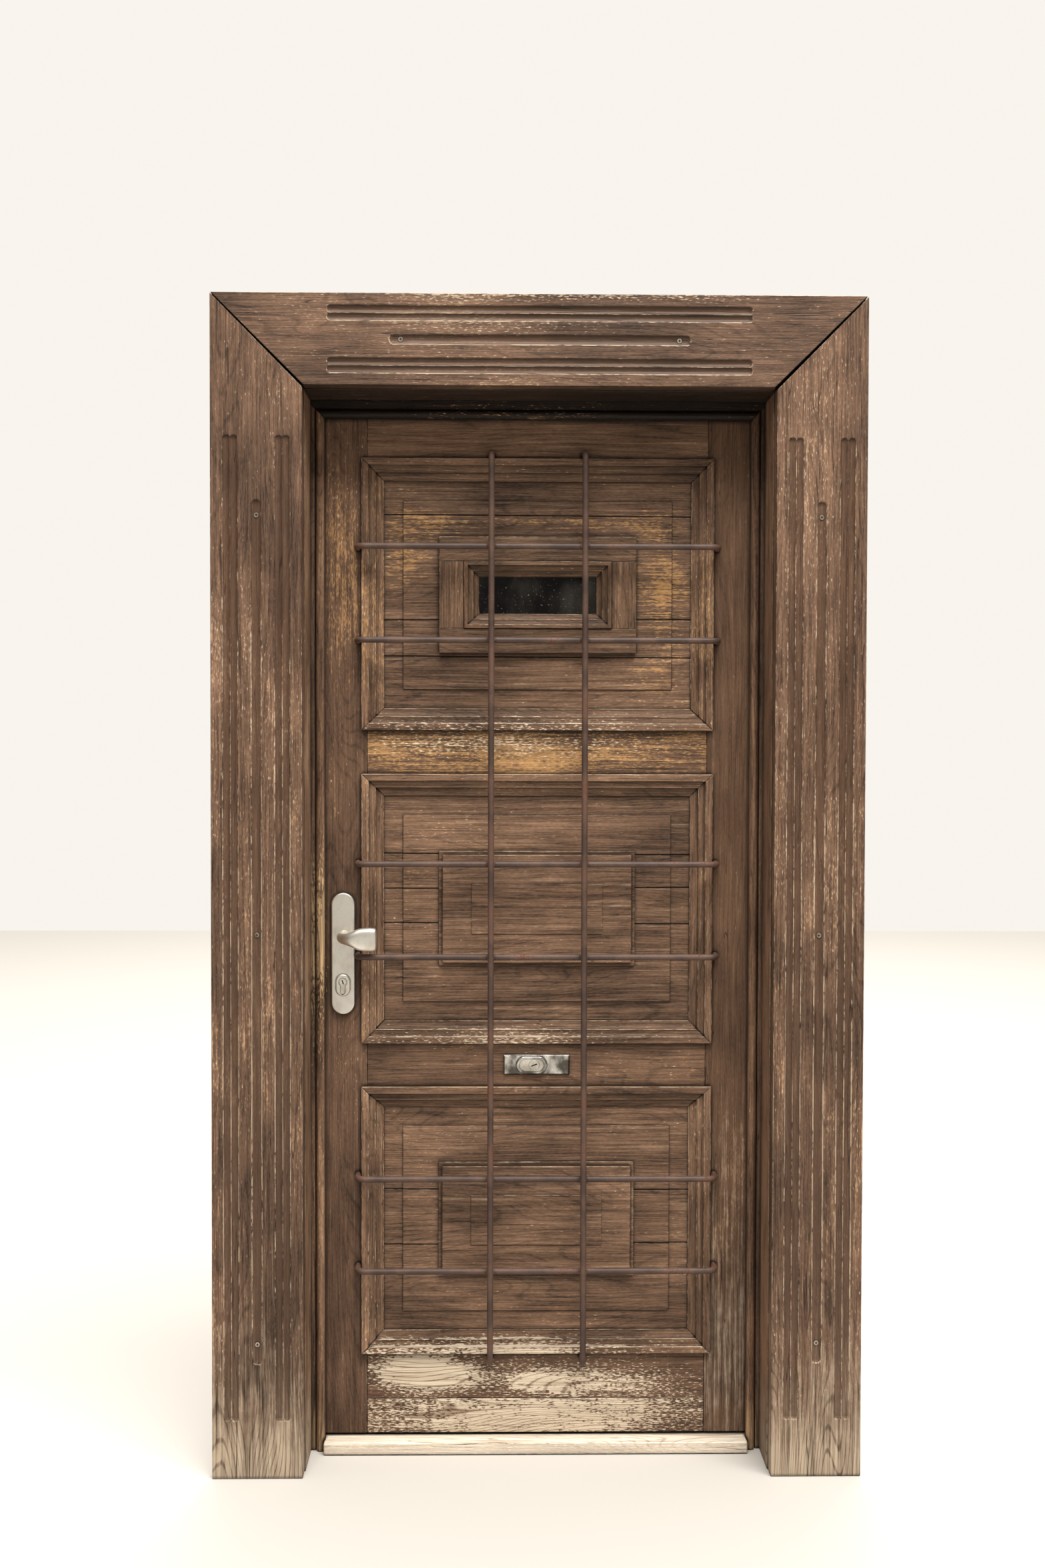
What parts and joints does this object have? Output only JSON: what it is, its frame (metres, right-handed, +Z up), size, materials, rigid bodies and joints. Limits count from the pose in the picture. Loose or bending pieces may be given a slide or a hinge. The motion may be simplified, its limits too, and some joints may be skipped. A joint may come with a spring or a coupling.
{
  "type": "front door",
  "caption": "Weathered panelled timber front door with a small barred window, iron bar grille, long-plate lock, centre lock and fluted casing in a deep reveal; the leaf swings inwards.",
  "frame": {"origin": "underside of the threshold, at the middle of the opening, in the plane of the leaf's outer face", "axes": "+Z up, +X to the right seen from the street, +Y into the house"},
  "size_m": [1.252, 0.24, 2.27],
  "materials": {
    "casing_paint": "weathered grey-brown paint worn to pale wood",
    "frame_paint": "weathered dark brown paint",
    "threshold_wood": "bare worn timber",
    "leaf_paint": "weathered brown paint with flaking",
    "zinc_screws": "dull zinc",
    "steel": "plain steel",
    "window_pane": "dusty",
    "bar_iron": "brown paint over iron",
    "satin_aluminium": "satin champagne",
    "centre_case_paint": "hammered brown paint",
    "nickel": "satin nickel",
    "chrome": "worn chrome"
  },
  "bodies": {
    "frame": {"casing_leg_left": "casing_paint", "casing_leg_right": "casing_paint", "casing_head": "casing_paint", "lining_left": "frame_paint", "lining_right": "frame_paint", "lining_head": "frame_paint", "jamb_left": "frame_paint", "jamb_right": "frame_paint", "jamb_head": "frame_paint", "threshold": "threshold_wood", "casing_screws": "zinc_screws", "strike_plate": "steel", "hinge_frame_halves": "steel", "cross_bar_keeper": "steel"},
    "leaf": {"lock_stile": "leaf_paint", "hinge_stile": "leaf_paint", "top_rail": "leaf_paint", "upper_cross_rail": "leaf_paint", "lock_rail": "leaf_paint", "bottom_rail": "leaf_paint", "kick_board": "leaf_paint", "window_surround": "leaf_paint", "window_moulding": "leaf_paint", "window_beads": "leaf_paint", "panel_bosses": "leaf_paint", "upper_panel": "leaf_paint", "middle_panel": "leaf_paint", "lower_panel": "leaf_paint", "upper_moulding_rails": "leaf_paint", "middle_moulding_rails": "leaf_paint", "lower_moulding_rails": "leaf_paint", "upper_moulding_sides": "leaf_paint", "middle_moulding_sides": "leaf_paint", "lower_moulding_sides": "leaf_paint", "window_glass": "window_pane", "grille_crossbar_1": "bar_iron", "grille_crossbar_2": "bar_iron", "grille_crossbar_3": "bar_iron", "grille_crossbar_4": "bar_iron", "grille_crossbar_5": "bar_iron", "grille_crossbar_6": "bar_iron", "grille_upright_left": "bar_iron", "grille_upright_right": "bar_iron", "outer_handle_plate": "satin_aluminium", "outer_knob": "satin_aluminium", "cylinder_guard": "satin_aluminium", "inner_handle_plate": "satin_aluminium", "hinge_leaf_halves": "steel", "lock_case": "steel", "cross_bar_guides": "steel", "centre_lock_case": "centre_case_paint", "lock_cylinder": "nickel", "centre_rosette": "chrome", "centre_cylinder": "chrome"},
    "lever": {"inner_lever": "satin_aluminium"},
    "latch": {"latch_bolt": "steel"},
    "deadbolt": {"deadbolt": "steel"},
    "key_plug": {"key_plug": "nickel"},
    "cross_bar": {"cross_bar": "steel"},
    "centre_key_plug": {"centre_key_plug": "chrome"}
  },
  "joints": [
    {"name": "leaf_swing", "type": "hinge", "parent": "frame", "child": "leaf", "pos_m": [0.437, 0.062, 1], "axis": [0, 0, -1], "range_deg": [0, 100]},
    {"name": "lever_turn", "type": "hinge", "parent": "leaf", "child": "lever", "pos_m": [-0.3865, 0.062, 1.032], "axis": [0, 1, 0], "range_deg": [-35, 0]},
    {"name": "latch_slide", "type": "slide", "parent": "leaf", "child": "latch", "axis": [-1, 0, 0], "range_m": [0, 0.012]},
    {"name": "deadbolt_slide", "type": "slide", "parent": "leaf", "child": "deadbolt", "axis": [-1, 0, 0], "range_m": [0, 0.02]},
    {"name": "key_turn", "type": "hinge", "parent": "leaf", "child": "key_plug", "pos_m": [-0.3865, 0, 0.942], "axis": [0, 1, 0], "range_deg": [0, 360]},
    {"name": "cross_bar_slide", "type": "slide", "parent": "leaf", "child": "cross_bar", "axis": [-1, 0, 0], "range_m": [0, 0.065]},
    {"name": "centre_key_turn", "type": "hinge", "parent": "leaf", "child": "centre_key_plug", "pos_m": [-0.005, 0, 0.77425], "axis": [0, 1, 0], "range_deg": [0, 720]}
  ],
  "couplings": [
    {"joint": "latch_slide", "follows": "lever_turn", "m_per_rad": -0.019644},
    {"joint": "key_turn", "follows": "deadbolt_slide", "rad_per_m": 314.16},
    {"joint": "centre_key_turn", "follows": "cross_bar_slide", "rad_per_m": 193.33}
  ]
}
